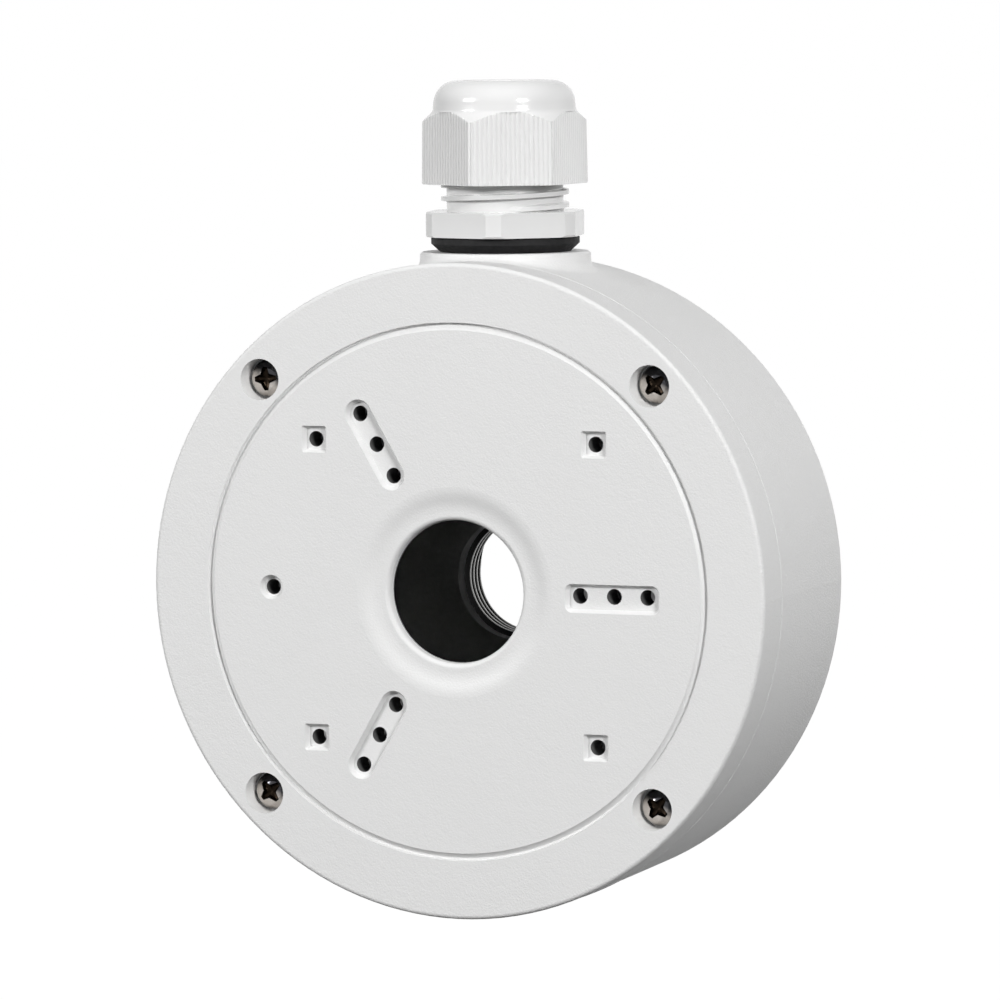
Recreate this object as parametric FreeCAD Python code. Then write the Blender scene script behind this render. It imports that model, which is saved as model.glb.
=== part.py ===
import FreeCAD, Part
import math
import os

os.makedirs("parts", exist_ok=True)

Vector = FreeCAD.Vector

# Driving dimensions, in millimetres. The box is a short round drum that is fixed to a wall.
# Its axis is the Y axis, the wall is the plane y = 0 and the front face looks along -Y.
# The cable gland stands on top, along +Z.

# Drum
BODY_R = 68.5
COVER_DEPTH = 11.0
BASE_STEP = 0.15
BASE_DRAFT = 0.75
FRONT_EDGE_R = 0.9
BACK_EDGE = 1.0

# Front cover
COVER_SKIN = 3.5
GROOVE_DEPTH = 1.0
GROOVE_WALL = 0.2
GROOVE_FLOOR = 0.35
GROOVE_SLOPE = 1.05
CENTRE_FROM_ROW = 12.75
HOLE_LIP_R = 1.0
DISH_LIP = 2.05
DISH_SWEEP = 5.0
DISH_DEPTH = 0.8

# Camera fixing holes
CAMERA_HOLE_R = 1.65
ROW_FROM_GROOVE = 13.65
ROW_STEP_OUTER = 7.35
ROW_STEP_INNER = 7.5
ROW_ANGLES = (0.0, 120.0, 240.0)
SQUARE_FROM_GROOVE = 11.85
SINGLE_FROM_GROOVE = 14.7
POCKET_DEPTH = 1.3
POCKET_SLOPE = 0.65
SLOT_HALF_WIDTH = 3.0
SLOT_DROP = 0.45
SLOT_CORNER_R = 1.6
SQUARE_POCKET_HALF = 2.8
SQUARE_POCKET_CORNER_R = 0.5
SINGLE_POCKET_R = 2.6
CAMERA_BOSS_R = 3.4
CAMERA_BOSS_END = 7.5

# Cover screws
SCREW_FROM_GROOVE = 5.545
SCREW_FROM_EDGE = 6.755
SCREW_R = 2.0
SCREW_LENGTH = 16.0
SCREW_TIP = 0.5
SCREW_CLEARANCE = 0.25
TAPPED_CLEARANCE = 0.05
TAPPED_SPARE = 3.0
HEAD_R = 4.0
HEAD_RIM = 1.3
HEAD_HEIGHT = 2.6
HEAD_SHOULDER_INSET = 0.5
HEAD_SHOULDER = 0.55
HEAD_CROWN_INSET = 1.6
HEAD_CLEARANCE = 0.35
COUNTERBORE_DEPTH = 5.3
CROSS_SPAN = 4.4
CROSS_WIDTH = 0.9
CROSS_CORE_R = 1.1
CROSS_DEPTH = 1.8
CROSS_LEAN = 0.45
SCREW_TURNS = {"upper_left": 4.0, "upper_right": 43.0, "lower_left": 40.0, "lower_right": 52.0}

# Cover seal
SEAL_FROM_EDGE = 1.9
SEAL_LAND = 4.4
SEAL_CORNER_R = 6.2
SEAL_SLOT_WIDTH = 2.4
SEAL_SLOT_DEPTH = 4.2
SEAL_SIDE_GAP = 0.1
SEAL_WALL = 1.8

# Rear base
BACK_WALL = 3.2
BACK_RECESS = 6.1
SKIRT_WALL = 3.6
FLOOR_BEVEL = 1.5
REAR_ENTRY_R = 13.2
REAR_BOSS_WALL = 3.8
REAR_THREAD_LENGTH = 11.0
FIX_FROM_SCREWS = 15.783
FIX_HOLE_R = 2.6
FIX_PAD_R = 6.5
RIB_COUNT = 8
RIB_WIDTH = 2.2
RIB_SHY = 1.5
RIB_HUB_GAP = 1.5

# Gland boss on the drum
GLAND_THREAD_R = 12.95
BOSS_WALL = 5.1
BOSS_FROM_BACK = 3.15
BOSS_FROM_COVER = 1.25
BOSS_STAND = 1.15
BOSS_DRAFT = 0.4
BOSS_EDGE = 0.5
BOSS_FLARE_R = 2.5
BOSS_INNER_WALL = 3.6
BOSS_LENGTH = 12.5

# Earth terminal
EARTH_FROM_SKIRT = 18.2
EARTH_PILLAR_BRIM = 0.2
EARTH_PILLAR_HEIGHT = 6.5
EARTH_WASHER_BRIM = 0.4
EARTH_WASHER_THICKNESS = 0.8
SPRING_WASHER_INSET = 0.4
SPRING_WASHER_THICKNESS = 1.0
SPRING_WASHER_SLIT = 0.7
SPRING_WASHER_TURN = 60.0
EARTH_SCREW_LENGTH = 8.0
EARTH_SCREW_TURN = 18.0

# Cable gland
WASHER_HEIGHT = 3.25
WASHER_BRIM = 2.75
WASHER_FOOT = 0.85
WASHER_WAIST = 1.2
WASHER_EDGE = 0.3
COLLAR_BRIM = 2.88
COLLAR_CORNER_CUT = 0.88
COLLAR_HEIGHT = 5.3
COLLAR_EDGE = 0.4
COLLAR_TURN = 43.7
SHANK_SHY = 1.3
SHANK_BEVEL = 0.6
SHANK_WALL = 3.65
NECK_LENGTH = 12.4
NECK_STEP = 0.6
NECK_WALL = 1.4
NECK_PITCH = 2.75
RIDGE_HEIGHT = 1.2
RIDGE_ROOT_WIDTH = 1.45
RIDGE_CREST_WIDTH = 0.9
RIDGE_BURIED = 0.3
THREAD_GAP = 0.3
THREAD_START = -24.3
THREAD_OFF_COLLAR = 0.9
NUT_GAP = 5.7
NUT_SPARE = 0.5
NUT_WALL = 1.55
NUT_TAPER = 0.2
NUT_CORNER_CUT = 0.23
NUT_EDGE = 0.2
NUT_OVER_NECK = 8.6
NUT_CHAMFER_HEIGHT = 2.05
NUT_CHAMFER_INSET = 0.2
NUT_TURN = 27.2
DOME_INSET = 0.25
DOME_WAIST_INSET = 0.15
DOME_WAIST = 1.6
DOME_ROUND = 4.9
DOME_HEIGHT = 6.5
NUT_HOLE_SHY = 0.3
NUT_HOLE_DEPTH = 2.6
CONE_LEAD = 1.35
CLAMP_GAP = 0.3
CLAMP_WALL = 1.65
CLAMP_RING = 7.0
CLAMP_HEADROOM = 1.5
CLAMP_SLOTS = 12
CLAMP_SLOT_WIDTH = 1.2
CLAMP_FOOT = 6.6
SEAL_FLANGE = 1.4
SEAL_INSERT_WALL = 2.25
SEAL_INSERT_GAP = 0.05
SEAL_INSERT_SHY = 1.5
SEAL_INSERT_LIP = 0.8

# Values that follow from the driving dimensions
screw_circle_r = BODY_R - SCREW_FROM_EDGE
screw_offset = screw_circle_r / math.sqrt(2)
fix_offset = (screw_circle_r - FIX_FROM_SCREWS) / math.sqrt(2)
groove_outer_r = screw_circle_r - SCREW_FROM_GROOVE
groove_inner_r = groove_outer_r - GROOVE_WALL - GROOVE_FLOOR - GROOVE_SLOPE
row_outer_r = groove_outer_r - ROW_FROM_GROOVE
row_middle_r = row_outer_r - ROW_STEP_OUTER
row_inner_r = row_middle_r - ROW_STEP_INNER
square_offset = (groove_outer_r - SQUARE_FROM_GROOVE) / math.sqrt(2)
single_radius = groove_outer_r - SINGLE_FROM_GROOVE
centre_hole_r = row_inner_r - CENTRE_FROM_ROW
dish_flat_r = centre_hole_r + DISH_LIP
dish_outer_r = dish_flat_r + DISH_SWEEP
seal_outer_r = BODY_R - SEAL_FROM_EDGE
cavity_r = seal_outer_r - SEAL_SLOT_WIDTH
boss_r = GLAND_THREAD_R + BOSS_WALL
gland_y = -(boss_r + BOSS_FROM_BACK)
parting = gland_y - boss_r - BOSS_FROM_COVER
front = parting - COVER_DEPTH
back_face = -BACK_RECESS
inner_floor = back_face - BACK_WALL
base_front_r = BODY_R - BASE_STEP
base_back_r = base_front_r - BASE_DRAFT
cover_back_r = BODY_R - BASE_STEP / 2
counterbore_r = HEAD_R + HEAD_CLEARANCE
screw_seat = front + COUNTERBORE_DEPTH
rear_boss_r = REAR_ENTRY_R + REAR_BOSS_WALL
rib_hub_r = rear_boss_r + RIB_HUB_GAP
earth_offset = cavity_r - EARTH_FROM_SKIRT
earth_washer_r = HEAD_R + EARTH_WASHER_BRIM
earth_pillar_r = earth_washer_r + EARTH_PILLAR_BRIM
spring_washer_r = HEAD_R - SPRING_WASHER_INSET
boss_top = BODY_R + BOSS_STAND
boss_foot = boss_top - BOSS_LENGTH
entry_r = GLAND_THREAD_R + TAPPED_CLEARANCE
collar_bottom = boss_top + WASHER_HEIGHT
collar_top = collar_bottom + COLLAR_HEIGHT
collar_flats = 2 * (GLAND_THREAD_R + COLLAR_BRIM)
collar_corner_r = collar_flats / math.sqrt(3) - COLLAR_CORNER_CUT
gland_bore_r = GLAND_THREAD_R - SHANK_WALL
neck_root_r = GLAND_THREAD_R - NECK_STEP
neck_crest_r = neck_root_r + RIDGE_HEIGHT
neck_top = collar_top + NECK_LENGTH
nut_bottom = collar_top + NUT_GAP
nut_shoulder = neck_top + NUT_OVER_NECK
nut_hex_height = nut_shoulder - nut_bottom
nut_top = nut_shoulder + DOME_HEIGHT
nut_travel_down = NUT_GAP - NUT_SPARE
nut_bore_r = neck_crest_r + THREAD_GAP
nut_ridge_root_width = NECK_PITCH - RIDGE_CREST_WIDTH - 2 * THREAD_GAP
nut_ridge_crest_width = NECK_PITCH - RIDGE_ROOT_WIDTH - 2 * THREAD_GAP
nut_bore_top = neck_top + nut_travel_down + 2 * THREAD_GAP
nut_flats = 2 * (nut_bore_r + NUT_WALL)
nut_corner_r = nut_flats / math.sqrt(3) - NUT_CORNER_CUT
nut_chamfer_r = nut_flats / 2 - NUT_CHAMFER_INSET
dome_foot_r = nut_flats / 2 - DOME_INSET
dome_waist_r = dome_foot_r - DOME_WAIST_INSET
dome_top_r = dome_waist_r - DOME_ROUND
clamp_bore_r = neck_root_r - NECK_WALL
clamp_r = clamp_bore_r - CLAMP_GAP
clamp_inner_r = clamp_r - CLAMP_WALL
cone_gap = CLAMP_GAP * 1.1
cone_r = clamp_r + CONE_LEAD
nut_hole_r = clamp_inner_r - NUT_HOLE_SHY
cone_top = nut_top - NUT_HOLE_DEPTH
cone_top_r = nut_hole_r + NUT_SPARE
clamp_bottom = neck_top - CLAMP_FOOT
clamp_top = cone_top - CLAMP_HEADROOM
seal_sleeve_r = clamp_inner_r - SEAL_INSERT_GAP
seal_insert_r = seal_sleeve_r - SEAL_INSERT_WALL
flange_bottom = clamp_bottom - SEAL_FLANGE
clamp_ledge = flange_bottom - nut_travel_down - CLAMP_GAP


# Outlines and placing

def turned(start, *steps):
    """Solid turned about the Y axis from a closed outline of (radius, y).

    A step of two numbers is a straight line to a point, and a step of four numbers is an arc
    through the first pair to the second.
    """
    edges = []
    here = Vector(start[0], start[1], 0)
    for step in steps:
        there = Vector(step[-2], step[-1], 0)
        if len(step) == 4:
            edges.append(Part.Arc(here, Vector(step[0], step[1], 0), there).toShape())
        else:
            edges.append(Part.LineSegment(here, there).toShape())
        here = there
    edges.append(Part.LineSegment(here, Vector(start[0], start[1], 0)).toShape())
    face = Part.Face(Part.Wire(edges))
    return face.revolve(Vector(0, 0, 0), Vector(0, 1, 0), 360)


def on_arc(centre_r, centre_y, radius, degrees):
    """Point of an arc in a turned outline, for a centre, a radius and an angle."""
    angle = math.radians(degrees)
    return (centre_r + radius * math.cos(angle), centre_y + radius * math.sin(angle))


def rod(radius, y_start, y_end, x=0.0, z=0.0):
    """Cylinder along Y between two depths."""
    return Part.makeCylinder(radius, y_end - y_start, Vector(x, y_start, z), Vector(0, 1, 0))


def spun(shape, degrees):
    """Copy of a shape turned about the drum's axis, from +X towards +Z."""
    copy = shape.copy()
    copy.rotate(Vector(0, 0, 0), Vector(0, -1, 0), degrees)
    return copy


def upright(shape):
    """Shape turned about Y, stood up on the gland's axis."""
    copy = shape.copy()
    copy.rotate(Vector(0, 0, 0), Vector(1, 0, 0), 90)
    copy.translate(Vector(0, gland_y, 0))
    return copy


def rounded(shape, radius, chosen):
    """Shape with a fillet on each edge that the test chooses."""
    return shape.makeFillet(radius, [edge for edge in shape.Edges if chosen(edge)])


def bevelled(shape, width, chosen):
    """Shape with a bevel on each edge that the test chooses."""
    return shape.makeChamfer(width, [edge for edge in shape.Edges if chosen(edge)])


def at_screws():
    """Centres of the four cover screws, with their names."""
    return {
        "upper_left": (-screw_offset, screw_offset),
        "upper_right": (screw_offset, screw_offset),
        "lower_left": (-screw_offset, -screw_offset),
        "lower_right": (screw_offset, -screw_offset),
    }


def seal_outline(inset, y_start, y_end):
    """Prism bounded by the seal's outer edge, moved in by an inset.

    The edge follows the rim and steps inwards round each cover screw, so that the screws
    stay outside the sealed space.
    """
    height = y_end - y_start
    prism = rod(seal_outer_r - inset, y_start, y_end)
    half = SEAL_LAND + inset
    for step in range(4):
        column = rod(half, y_start, y_end, screw_circle_r)
        corner = Vector(screw_circle_r, y_start, -half)
        column = column.fuse(Part.makeBox(SCREW_FROM_EDGE, height, 2 * half, corner))
        prism = prism.cut(spun(column.removeSplitter(), 45 + 90 * step))
    corner_r = SEAL_CORNER_R - inset
    along = [edge for edge in prism.Edges if abs(edge.BoundBox.YLength - height) < 0.001
             and edge.BoundBox.XLength < 0.001 and edge.BoundBox.ZLength < 0.001]
    sharp = [edge for edge in along
             if abs(math.hypot(edge.CenterOfMass.x, edge.CenterOfMass.z) - seal_outer_r + inset) < 0.01]
    return prism.makeFillet(corner_r, sharp)


# Front cover: a cast plate with a deep rim

def rectangle_wire(half_x, half_z, corner_r, y):
    """Closed wire of a rectangle with rounded corners, at one depth."""
    box = Part.makeBox(2 * half_x, 1, 2 * half_z, Vector(-half_x, y, -half_z))
    box = rounded(box, corner_r, lambda edge: edge.BoundBox.YLength > 0.5)
    face = min(box.Faces, key=lambda item: item.CenterOfMass.y)
    return face.OuterWire


def pocket(half_x, half_z, corner_r):
    """Cutter of a shallow pocket with leaning walls, centred on the drum's axis."""
    lean = POCKET_SLOPE
    mouth = rectangle_wire(half_x, half_z, corner_r, front)
    floor_corner_r = max(corner_r - lean, corner_r / 3)
    floor = rectangle_wire(half_x - lean, half_z - lean, floor_corner_r, front + POCKET_DEPTH)
    return Part.makeLoft([mouth, floor], True, True)


def camera_slots():
    """Cutters of the three slots, each over a row of three holes."""
    middle = (row_inner_r + row_outer_r) / 2
    half_length = (row_outer_r - row_inner_r) / 2 + SLOT_HALF_WIDTH
    slots = []
    for angle in ROW_ANGLES:
        plain = angle == 0
        corner_r = SLOT_CORNER_R if plain else SLOT_HALF_WIDTH * 0.99
        slot = pocket(half_length, SLOT_HALF_WIDTH, corner_r)
        slot.translate(Vector(middle, 0, -SLOT_DROP if plain else 0))
        slots.append(spun(slot, angle))
    return slots


def camera_holes():
    """Centres (x, z) of all tapped holes for a camera."""
    centres = []
    for angle in ROW_ANGLES:
        turn = math.radians(angle)
        for radius in (row_inner_r, row_middle_r, row_outer_r):
            centres.append((radius * math.cos(turn), radius * math.sin(turn)))
    for side_x in (-1, 1):
        for side_z in (-1, 1):
            centres.append((side_x * square_offset, side_z * square_offset))
    centres.append((-single_radius, 0.0))
    return centres


def cover_profile():
    """Turned body of the cover with its edge, ring groove, dish and centre hole, solid behind."""
    edge = on_arc(BODY_R - FRONT_EDGE_R, front + FRONT_EDGE_R, FRONT_EDGE_R, -45)
    dish_floor = front + DISH_DEPTH
    lip = on_arc(centre_hole_r + HOLE_LIP_R, dish_floor + HOLE_LIP_R, HOLE_LIP_R, -135)
    middle_r = (dish_flat_r + dish_outer_r) / 2
    sweep = middle_r - dish_flat_r
    bend_r = (sweep ** 2 + (DISH_DEPTH / 2) ** 2) / DISH_DEPTH
    half_angle = math.degrees(math.asin(sweep / bend_r)) / 2
    inner_bend = on_arc(dish_flat_r, dish_floor - bend_r, bend_r, 90 - half_angle)
    outer_bend = on_arc(dish_outer_r, front + bend_r, bend_r, half_angle - 90 - 2 * half_angle)
    return turned(
        (centre_hole_r, dish_floor + HOLE_LIP_R),
        (*lip, centre_hole_r + HOLE_LIP_R, dish_floor),
        (dish_flat_r, dish_floor),
        (*inner_bend, middle_r, front + DISH_DEPTH / 2),
        (*outer_bend, dish_outer_r, front),
        (groove_inner_r, front),
        (groove_inner_r + GROOVE_SLOPE, front + GROOVE_DEPTH),
        (groove_outer_r - GROOVE_WALL, front + GROOVE_DEPTH),
        (groove_outer_r, front),
        (BODY_R - FRONT_EDGE_R, front),
        (*edge, BODY_R, front + FRONT_EDGE_R),
        (cover_back_r, parting),
        (centre_hole_r, parting),
    )


def camera_bosses():
    """Thickened places behind the holes: a bar behind each row and a round boss elsewhere."""
    bosses = []
    start = front + COVER_SKIN / 2
    end = front + CAMERA_BOSS_END
    for x, z in camera_holes():
        bosses.append(rod(CAMERA_BOSS_R, start, end, x, z))
    corner = Vector(row_inner_r, start, -CAMERA_BOSS_R)
    bar = Part.makeBox(row_outer_r - row_inner_r, end - start, 2 * CAMERA_BOSS_R, corner)
    bosses += [spun(bar, angle) for angle in ROW_ANGLES]
    return bosses


def front_cover():
    cover = cover_profile()
    cover = cover.cut(seal_outline(SEAL_SLOT_WIDTH + SEAL_WALL, front + COVER_SKIN, parting))
    cover = cover.fuse(camera_bosses()).removeSplitter()
    slot = seal_outline(0, parting - SEAL_SLOT_DEPTH, parting)
    slot = slot.cut(seal_outline(SEAL_SLOT_WIDTH, parting - SEAL_SLOT_DEPTH, parting))
    cutters = [slot] + camera_slots()
    square = pocket(SQUARE_POCKET_HALF, SQUARE_POCKET_HALF, SQUARE_POCKET_CORNER_R)
    for side_x in (-1, 1):
        for side_z in (-1, 1):
            copy = square.copy()
            copy.translate(Vector(side_x * square_offset, 0, side_z * square_offset))
            cutters.append(copy)
    single = Part.makeCone(SINGLE_POCKET_R, SINGLE_POCKET_R - POCKET_SLOPE, POCKET_DEPTH,
                           Vector(-single_radius, front, 0), Vector(0, 1, 0))
    cutters.append(single)
    for x, z in camera_holes():
        cutters.append(rod(CAMERA_HOLE_R, front, parting, x, z))
    for x, z in at_screws().values():
        cutters.append(rod(counterbore_r, front, screw_seat, x, z))
        cutters.append(rod(SCREW_R + SCREW_CLEARANCE, front, parting, x, z))
    return cover.cut(cutters)


def cover_seal():
    """Rubber ring that fills the slot in the cover and bears on the base's rim."""
    start = parting - SEAL_SLOT_DEPTH
    ring = seal_outline(SEAL_SIDE_GAP, start, parting)
    return ring.cut(seal_outline(SEAL_SLOT_WIDTH - SEAL_SIDE_GAP, start, parting))


# Screws and washers

def cross_recess(top_y):
    """Cutter of a cross recess, narrowing to a point in the head."""
    tip_y = top_y + CROSS_DEPTH
    wings = []
    for turn in (0, 90):
        half = CROSS_SPAN / 2
        lean = half * CROSS_LEAN
        outline = Part.makePolygon([
            Vector(-half, top_y, 0),
            Vector(half, top_y, 0),
            Vector(half - lean, tip_y, 0),
            Vector(lean - half, tip_y, 0),
            Vector(-half, top_y, 0),
        ])
        wing = Part.Face(outline).extrude(Vector(0, 0, CROSS_WIDTH))
        wing.translate(Vector(0, 0, -CROSS_WIDTH / 2))
        wings.append(spun(wing, turn))
    core = Part.makeCone(CROSS_CORE_R, CROSS_CORE_R / 2, CROSS_DEPTH, Vector(0, top_y, 0), Vector(0, 1, 0))
    return wings[0].fuse([wings[1], core]).removeSplitter()


def pan_head_screw(seat_y, length, turn):
    """Pan head screw on the Y axis, its head in front of the seat."""
    top_y = seat_y - HEAD_HEIGHT
    rim_y = seat_y - HEAD_RIM
    screw = turned(
        (0, top_y),
        (HEAD_R - HEAD_CROWN_INSET, top_y),
        (HEAD_R - HEAD_SHOULDER_INSET, top_y + HEAD_SHOULDER),
        (HEAD_R, rim_y),
        (HEAD_R, seat_y),
        (SCREW_R, seat_y),
        (SCREW_R, seat_y + length - SCREW_TIP),
        (SCREW_R - SCREW_TIP, seat_y + length),
        (0, seat_y + length),
    )
    return spun(screw.cut(cross_recess(top_y)), turn)


def cover_screws():
    screws = {}
    for name, (x, z) in at_screws().items():
        screw = pan_head_screw(screw_seat, SCREW_LENGTH, SCREW_TURNS[name])
        screw.translate(Vector(x, 0, z))
        screws["cover_screw_" + name] = screw
    return screws


def earth_terminal():
    """Earthing screw with its spring washer and flat washer, on a pillar of the base."""
    pillar_top = inner_floor - EARTH_PILLAR_HEIGHT
    washer_top = pillar_top - EARTH_WASHER_THICKNESS
    spring_top = washer_top - SPRING_WASHER_THICKNESS
    hole_r = SCREW_R + SCREW_CLEARANCE
    washer = rod(earth_washer_r, washer_top, pillar_top).cut(rod(hole_r, washer_top, pillar_top))
    spring = rod(spring_washer_r, spring_top, washer_top).cut(rod(hole_r, spring_top, washer_top))
    slit = Part.makeBox(spring_washer_r, SPRING_WASHER_THICKNESS, SPRING_WASHER_SLIT,
                        Vector(0, spring_top, -SPRING_WASHER_SLIT / 2))
    pieces = {
        "earth_screw": pan_head_screw(spring_top, EARTH_SCREW_LENGTH, EARTH_SCREW_TURN),
        "earth_spring_washer": spring.cut(spun(slit, SPRING_WASHER_TURN)),
        "earth_flat_washer": washer,
    }
    for piece in pieces.values():
        piece.translate(Vector(0, 0, -earth_offset))
    return pieces


# Rear base: a deep cast tray

def base_body():
    """Turned outside of the base with the flared gland boss on top."""
    drum = turned(
        (0, parting),
        (base_front_r, parting),
        (base_back_r, -BACK_EDGE),
        (base_back_r - BACK_EDGE / 4, -BACK_EDGE / 4),
        (base_back_r - BACK_EDGE, 0),
        (0, 0),
    )
    boss = Part.makeCone(boss_r + BOSS_DRAFT, boss_r, BOSS_LENGTH, Vector(0, gland_y, boss_foot))
    boss = bevelled(boss, BOSS_EDGE, lambda item: abs(item.CenterOfMass.z - boss_top) < 0.001)
    body = drum.fuse(boss)

    def where_boss_meets_drum(item):
        reach = max(abs(item.BoundBox.XMin), abs(item.BoundBox.XMax))
        low = item.BoundBox.ZMin > boss_foot + 1
        below_top = item.BoundBox.ZMax < boss_top - BOSS_EDGE
        return low and below_top and reach < boss_r + BOSS_DRAFT + 0.1

    return rounded(body, BOSS_FLARE_R, where_boss_meets_drum)


def back_recess():
    """Cutter of the hollow in the back, less its ribs and the pads of the wall fixings."""
    recess = rod(base_back_r - SKIRT_WALL, back_face, 0)
    rib_length = base_back_r - rib_hub_r
    rib_height = BACK_RECESS - RIB_SHY
    rib = Part.makeBox(rib_length, rib_height, RIB_WIDTH, Vector(rib_hub_r, back_face, -RIB_WIDTH / 2))
    kept = [spun(rib, 360 / RIB_COUNT * step) for step in range(RIB_COUNT)]
    kept += [rod(FIX_PAD_R, back_face, 0, x, z) for x, z in wall_fixings()]
    return recess.cut(kept)


def wall_fixings():
    """Centres (x, z) of the holes for the screws into the wall."""
    return [(side_x * fix_offset, side_z * fix_offset) for side_x in (-1, 1) for side_z in (-1, 1)]


def rear_base():
    base = base_body()
    cavity = seal_outline(SEAL_SLOT_WIDTH, parting, inner_floor)
    cavity = bevelled(cavity, FLOOR_BEVEL, lambda item: item.BoundBox.YMin > inner_floor - 0.001)
    base = base.cut([cavity, back_recess()])
    rear_boss_start = back_face - REAR_THREAD_LENGTH
    inner_boss_top = BODY_R - SKIRT_WALL
    inner_boss = Part.makeCylinder(entry_r + BOSS_INNER_WALL, inner_boss_top - boss_foot,
                                   Vector(0, gland_y, boss_foot))
    pillar = rod(earth_pillar_r, inner_floor - EARTH_PILLAR_HEIGHT, inner_floor, 0, -earth_offset)
    added = [rod(rear_boss_r, rear_boss_start, back_face), inner_boss, pillar]
    base = base.fuse(added).removeSplitter()
    tapped_r = SCREW_R + TAPPED_CLEARANCE
    cutters = [
        rod(REAR_ENTRY_R, rear_boss_start, 0),
        Part.makeCylinder(entry_r, BOSS_LENGTH + 1, Vector(0, gland_y, boss_foot - 1)),
        rod(tapped_r, inner_floor - EARTH_PILLAR_HEIGHT, inner_floor + BACK_WALL / 2, 0, -earth_offset),
    ]
    cutters += [rod(FIX_HOLE_R, inner_floor, 0, x, z) for x, z in wall_fixings()]
    tapped_end = screw_seat + SCREW_LENGTH + TAPPED_SPARE
    cutters += [rod(tapped_r, parting, tapped_end, x, z) for x, z in at_screws().values()]
    return base.cut(cutters)


# Cable gland

def hexagon(flats, height, taper, turn):
    """Six-sided prism on Z that narrows upwards, one face turned from -Y towards +X."""
    rings = []
    for z, across in ((0, flats), (height, flats - 2 * taper)):
        corner = across / math.sqrt(3)
        points = []
        for step in range(7):
            angle = math.radians(turn - 90 + 30 + 60 * step)
            points.append(Vector(corner * math.cos(angle), corner * math.sin(angle), z))
        rings.append(Part.makePolygon(points))
    return Part.makeLoft(rings, True, True)


def thread_ridge(inner_r, outer_r, inner_width, outer_width, height, start):
    """Helical ridge on Z with a trapezium section, right-handed."""
    helix = Part.makeHelix(NECK_PITCH, height, inner_r)
    section = Part.makePolygon([
        Vector(inner_r, 0, -inner_width / 2),
        Vector(outer_r, 0, -outer_width / 2),
        Vector(outer_r, 0, outer_width / 2),
        Vector(inner_r, 0, inner_width / 2),
        Vector(inner_r, 0, -inner_width / 2),
    ])
    ridge = Part.Wire(helix.Edges).makePipeShell([section], True, True)
    ridge.rotate(Vector(0, 0, 0), Vector(0, 0, 1), start)
    return ridge


def neck_ridge_start():
    """Height of the middle of the neck's thread where it starts, just above the collar."""
    return collar_top + THREAD_OFF_COLLAR


def gland_body():
    foot = boss_foot + SHANK_SHY
    shank = upright(turned(
        (gland_bore_r, foot),
        (GLAND_THREAD_R - SHANK_BEVEL, foot),
        (GLAND_THREAD_R, foot + SHANK_BEVEL),
        (GLAND_THREAD_R, collar_bottom),
        (GLAND_THREAD_R, collar_top),
        (neck_root_r, collar_top),
        (neck_root_r, neck_top),
        (clamp_bore_r, neck_top),
        (clamp_bore_r, clamp_ledge),
        (gland_bore_r, clamp_ledge),
    ))
    collar = hexagon(collar_flats, COLLAR_HEIGHT, 0, COLLAR_TURN)
    collar.translate(Vector(0, gland_y, collar_bottom))
    edge = collar_corner_r
    within_wall = (clamp_bore_r + neck_root_r) / 2
    blank = upright(turned(
        (within_wall, collar_bottom),
        (edge - COLLAR_EDGE, collar_bottom),
        (edge, collar_bottom + COLLAR_EDGE),
        (edge, collar_top - COLLAR_EDGE),
        (edge - COLLAR_EDGE, collar_top),
        (within_wall, collar_top),
    ))
    ridge_height = neck_top - neck_ridge_start() - RIDGE_ROOT_WIDTH
    ridge = thread_ridge(neck_root_r - RIDGE_BURIED, neck_crest_r, RIDGE_ROOT_WIDTH, RIDGE_CREST_WIDTH,
                         ridge_height, THREAD_START)
    ridge.translate(Vector(0, gland_y, neck_ridge_start()))
    return shank.fuse([collar.common(blank), ridge]).removeSplitter()


def gland_washer():
    widest = collar_bottom - WASHER_EDGE - WASHER_WAIST
    washer_r = GLAND_THREAD_R + WASHER_BRIM
    return upright(turned(
        (entry_r, boss_top),
        (GLAND_THREAD_R + WASHER_FOOT, boss_top),
        (washer_r, widest),
        (washer_r, widest + WASHER_WAIST),
        (washer_r - WASHER_EDGE, collar_bottom),
        (entry_r, collar_bottom),
    ))


def cone_radius(z):
    """Radius of the nut's inner cone at a height."""
    share = (z - nut_bore_top) / (cone_top - nut_bore_top)
    return cone_r + (cone_top_r - cone_r) * share


def gland_clamp():
    """Ring with a crown of fingers, which the nut's cone closes on the cable."""
    slant = cone_radius(clamp_top) - cone_gap
    share = (cone_r - cone_gap - clamp_r) / (cone_r - cone_top_r)
    slant_start = nut_bore_top + share * (cone_top - nut_bore_top)
    crown = upright(turned(
        (clamp_inner_r, clamp_bottom),
        (clamp_r, clamp_bottom),
        (clamp_r, slant_start),
        (slant, clamp_top),
        (clamp_inner_r, clamp_top),
    ))
    slot_height = clamp_top - clamp_bottom - CLAMP_RING
    corner = Vector(0, -CLAMP_SLOT_WIDTH / 2, clamp_bottom + CLAMP_RING)
    slot = Part.makeBox(clamp_bore_r, CLAMP_SLOT_WIDTH, slot_height, corner)
    slots = []
    for step in range(CLAMP_SLOTS):
        copy = slot.copy()
        copy.rotate(Vector(0, 0, 0), Vector(0, 0, 1), 360 / CLAMP_SLOTS * step)
        copy.translate(Vector(0, gland_y, 0))
        slots.append(copy)
    return crown.cut(slots)


def gland_seal():
    """Rubber sleeve that the fingers press on the cable, with a flange below them."""
    sleeve_top = clamp_top - SEAL_INSERT_SHY
    lip = SEAL_INSERT_LIP
    return upright(turned(
        (seal_insert_r, flange_bottom + lip),
        (seal_insert_r + lip, flange_bottom),
        (clamp_r, flange_bottom),
        (clamp_r, clamp_bottom),
        (seal_sleeve_r, clamp_bottom),
        (seal_sleeve_r, sleeve_top),
        (seal_insert_r + lip, sleeve_top),
        (seal_insert_r, sleeve_top - lip),
    ))


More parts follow.
